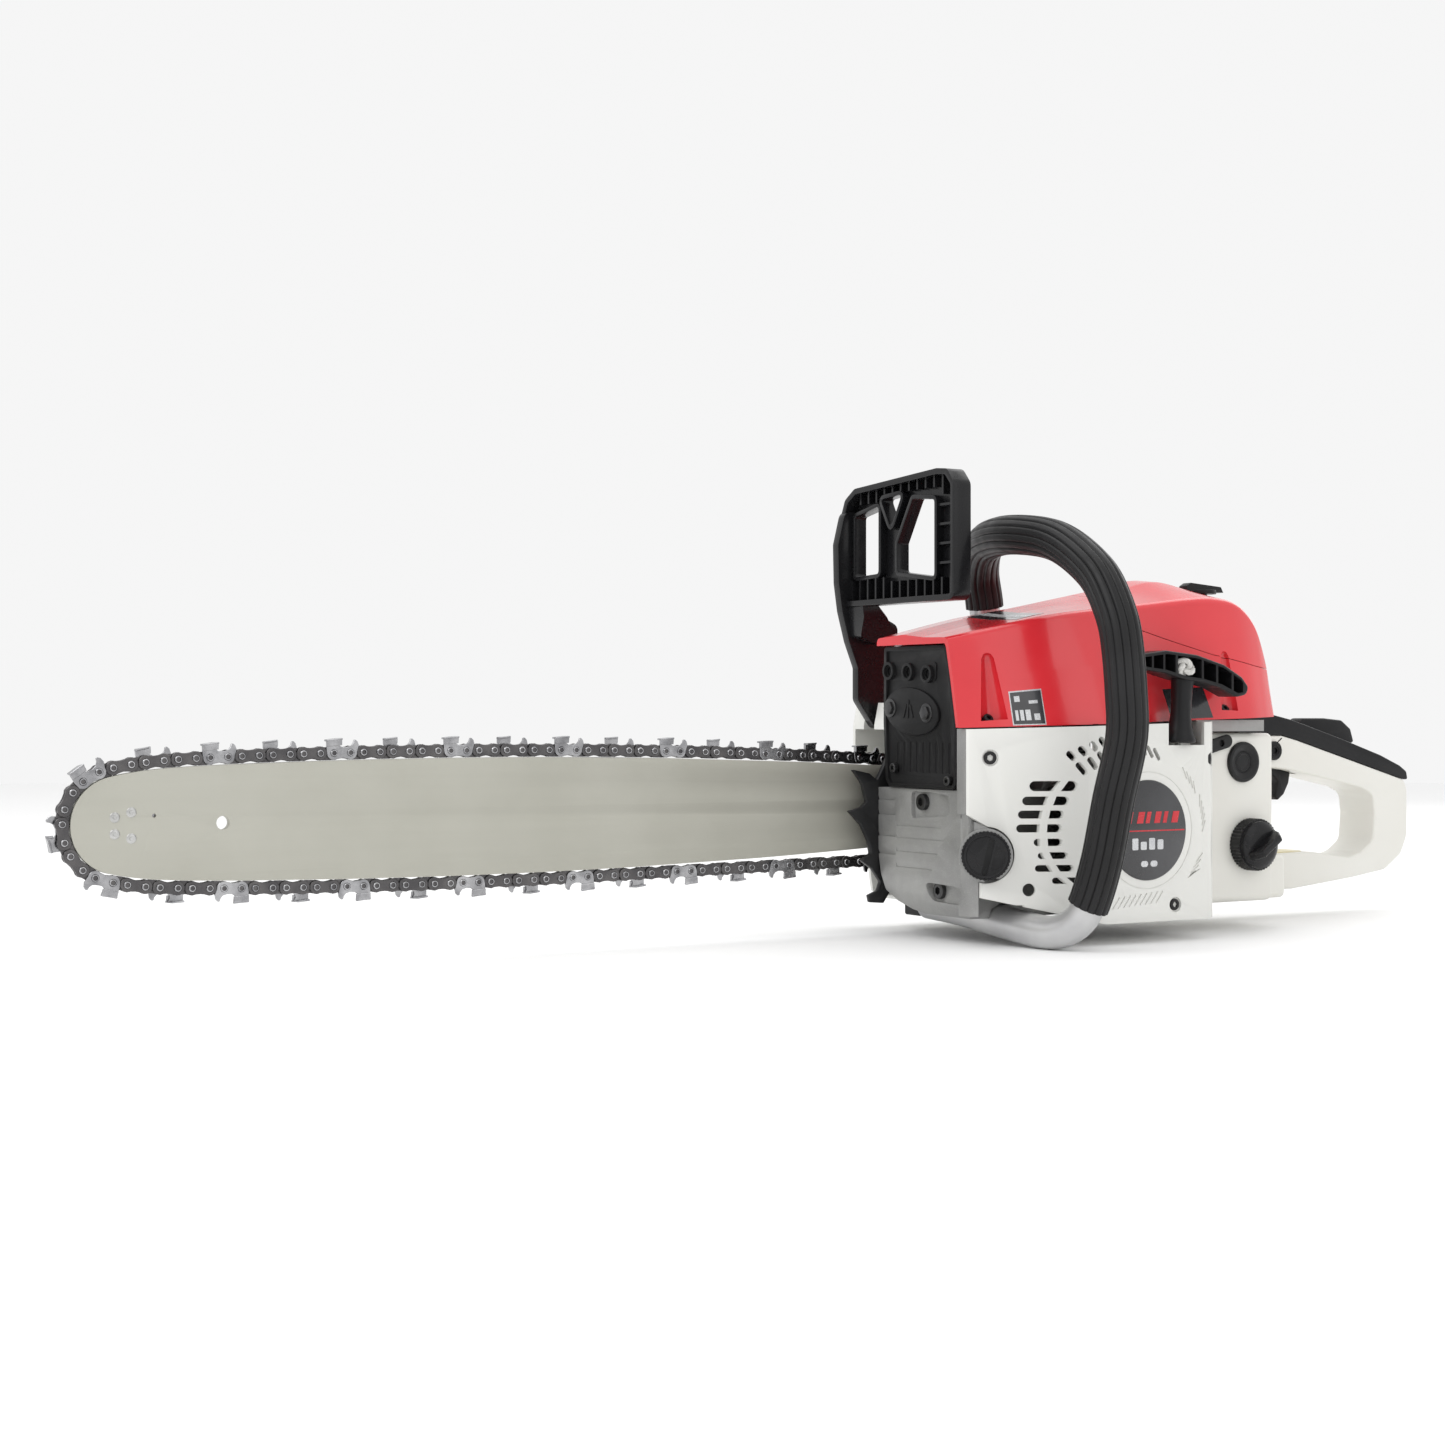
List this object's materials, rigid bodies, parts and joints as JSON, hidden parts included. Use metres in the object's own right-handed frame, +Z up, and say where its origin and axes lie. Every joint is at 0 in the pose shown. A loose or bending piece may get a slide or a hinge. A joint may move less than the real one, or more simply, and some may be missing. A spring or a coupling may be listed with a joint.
{
  "type": "chainsaw",
  "caption": "Petrol chainsaw with a long guide bar, tipped saw chain, front loop handle with tilting hand guard, recoil starter and rear handle with trigger.",
  "frame": {"origin": "on the flat underside of the crankcase, straight below the crankshaft axis, in the plane of the rear handle", "axes": "+X to the rear handle (the bar points along -X), +Y to the bar and clutch side, +Z up"},
  "size_m": [0.8748, 0.2294, 0.269],
  "materials": {
    "red_plastic": "glossy moulded",
    "white_plastic": "satin moulded",
    "black_plastic": "satin moulded",
    "black_rubber": "matt",
    "cast_alloy": "grainy casting",
    "machined_alloy": "machined",
    "silver_tube": "satin tube",
    "bar_steel": "satin ground",
    "dark_steel": "oiled",
    "chrome_steel": "bright plated",
    "black_steel": "black painted",
    "badge_film": "printed film, unlettered",
    "white_rope": "braided",
    "filter_felt": "felt"
  },
  "bodies": {
    "saw_frame": {"air_filter": "filter_felt", "bar_nut_1": "dark_steel", "bar_nut_2": "dark_steel", "brake_band": "bar_steel", "carburetor": "machined_alloy", "carburetor_grommet": "black_rubber", "carburetor_tray": "cast_alloy", "chain_catcher": "black_plastic", "clutch_cover": "white_plastic", "crankcase": "cast_alloy", "cylinder": "machined_alloy", "filter_cover": "red_plastic", "front_handle_grip": "black_rubber", "front_handle_tube": "silver_tube", "fuel_tank": "white_plastic", "guard_pivot_pin": "chrome_steel", "guide_bar": "bar_steel", "handle_bracket": "cast_alloy", "handle_grip_cover": "black_plastic", "handle_screw_cap": "black_plastic", "ignition_coil": "black_plastic", "intake_boot": "black_rubber", "main_bearing_left": "chrome_steel", "main_bearing_right": "chrome_steel", "mount_plug": "black_rubber", "muffler": "dark_steel", "muffler_cover": "black_plastic", "oil_pump": "cast_alloy", "recoil_spring": "dark_steel", "saw_chain": "chrome_steel", "spark_plug": "chrome_steel", "spiked_bumper": "black_steel", "starter_badge": "badge_film", "starter_cover": "white_plastic", "starter_rope": "white_rope", "tensioner_pin": "dark_steel", "tensioner_screw": "chrome_steel", "top_cover": "red_plastic"},
    "crankshaft": {"crank_half_left": "machined_alloy", "crank_half_right": "machined_alloy", "flywheel": "machined_alloy", "clutch_hub": "dark_steel"},
    "clutch_drum": {"clutch_drum": "dark_steel", "drive_sprocket": "dark_steel"},
    "nose_sprocket": {"nose_sprocket": "chrome_steel"},
    "piston": {"piston": "machined_alloy", "piston_pin": "chrome_steel"},
    "connecting_rod": {"connecting_rod": "dark_steel", "crank_pin": "chrome_steel"},
    "hand_guard": {"hand_guard": "black_plastic"},
    "throttle_trigger": {"throttle_trigger": "black_plastic"},
    "throttle_lockout": {"throttle_lockout": "black_plastic"},
    "starter_grip": {"starter_grip": "black_plastic"},
    "starter_pulley": {"starter_pulley": "black_plastic", "rope_winding": "white_rope"},
    "fuel_cap": {"fuel_cap": "black_plastic"},
    "oil_cap": {"oil_cap": "black_plastic"},
    "filter_cover_knob": {"filter_cover_knob": "black_plastic"},
    "choke_knob": {"choke_knob": "black_plastic"},
    "stop_switch": {"stop_switch": "red_plastic"}
  },
  "joints": [
    {"name": "crankshaft_spin", "type": "hinge", "parent": "saw_frame", "child": "crankshaft", "pos_m": [0, 0, 0.05], "axis": [0, 1, 0], "continuous": true},
    {"name": "clutch_drum_spin", "type": "hinge", "parent": "saw_frame", "child": "clutch_drum", "pos_m": [0, 0.045, 0.05], "axis": [0, 1, 0], "continuous": true},
    {"name": "nose_sprocket_spin", "type": "hinge", "parent": "saw_frame", "child": "nose_sprocket", "pos_m": [-0.54805, 0.045, 0.06], "axis": [0, 1, 0], "continuous": true},
    {"name": "piston_stroke", "type": "slide", "parent": "saw_frame", "child": "piston", "axis": [0, 0, -1], "range_m": [0, 0.032]},
    {"name": "connecting_rod_swing", "type": "hinge", "parent": "piston", "child": "connecting_rod", "pos_m": [0, 0, 0.122], "axis": [0, 1, 0], "range_deg": [-16.5, 16.5]},
    {"name": "hand_guard_tip", "type": "hinge", "parent": "saw_frame", "child": "hand_guard", "pos_m": [-0.077, 0.06, 0.1135], "axis": [0, -1, 0], "range_deg": [0, 20]},
    {"name": "throttle_trigger_pull", "type": "hinge", "parent": "saw_frame", "child": "throttle_trigger", "pos_m": [0.176, 0, 0.087], "axis": [0, -1, 0], "range_deg": [0, 14], "stiffness_Nm_per_rad": 0.6, "springref_deg": -8.59},
    {"name": "throttle_lockout_press", "type": "hinge", "parent": "saw_frame", "child": "throttle_lockout", "pos_m": [0.207, 0, 0.097], "axis": [0, 1, 0], "range_deg": [0, 9], "stiffness_Nm_per_rad": 0.6, "springref_deg": -8.59},
    {"name": "starter_pull", "type": "slide", "parent": "saw_frame", "child": "starter_grip", "axis": [0, 0, 1], "range_m": [0, 0.8], "stiffness_N_per_m": 12, "springref_m": -0.8, "deforming": ["starter_rope"]},
    {"name": "starter_pulley_turn", "type": "hinge", "parent": "saw_frame", "child": "starter_pulley", "pos_m": [0, -0.0715, 0.05], "axis": [0, -1, 0], "range_deg": [0, 1925]},
    {"name": "fuel_cap_turn", "type": "hinge", "parent": "saw_frame", "child": "fuel_cap", "pos_m": [0.1065, -0.06, 0.0365], "axis": [0, -1, 0], "range_deg": [0, 360]},
    {"name": "oil_cap_turn", "type": "hinge", "parent": "saw_frame", "child": "oil_cap", "pos_m": [-0.0965, -0.0665, 0.0365], "axis": [-0.6, -0.8, 0], "range_deg": [0, 360]},
    {"name": "filter_knob_turn", "type": "hinge", "parent": "saw_frame", "child": "filter_cover_knob", "pos_m": [0.1035, -0.022, 0.188], "axis": [0, 0, 1], "range_deg": [0, 90]},
    {"name": "choke_pull", "type": "slide", "parent": "saw_frame", "child": "choke_knob", "axis": [1, 0, 0], "range_m": [0, 0.012]},
    {"name": "stop_switch_slide", "type": "slide", "parent": "saw_frame", "child": "stop_switch", "axis": [1, 0, 0], "range_m": [0, 0.005]}
  ],
  "couplings": [
    {"joint": "nose_sprocket_spin", "follows": "clutch_drum_spin", "ratio": 0.8},
    {"joint": "starter_pulley_turn", "follows": "starter_pull", "rad_per_m": 41.67}
  ]
}
